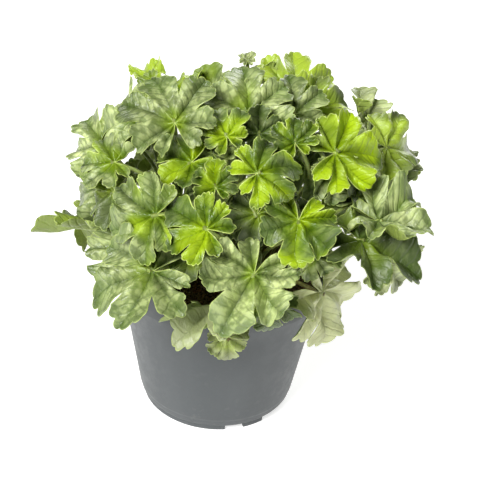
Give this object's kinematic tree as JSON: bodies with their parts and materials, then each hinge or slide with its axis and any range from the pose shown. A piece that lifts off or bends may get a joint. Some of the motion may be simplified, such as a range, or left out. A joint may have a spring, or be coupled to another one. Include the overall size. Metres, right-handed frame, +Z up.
{
  "type": "potted coral bells",
  "caption": "Coral bells plant with a mound of lobed silver-green leaves on thin stalks, growing in peat in a round grey plastic nursery pot.",
  "frame": {"origin": "on the ground under the middle of the whole object's box, level with the foot of the pot", "axes": "+Z up along the pot's axis, -Y towards the side that the picture shows, +X to the right of that side"},
  "size_m": [0.2246, 0.226, 0.2205],
  "materials": {
    "pot_plastic": "satin moulded grey polypropylene",
    "peat": "moist peat with crumbs, bark and grit",
    "leaf": "satin leaf with a silver bloom between green veins"
  },
  "bodies": {
    "root": {"pot": "pot_plastic", "soil": "peat", "shoot_0": "leaf", "shoot_1": "leaf", "shoot_2": "leaf", "shoot_3": "leaf", "shoot_4": "leaf", "shoot_5": "leaf", "shoot_6": "leaf"}
  },
  "joints": []
}
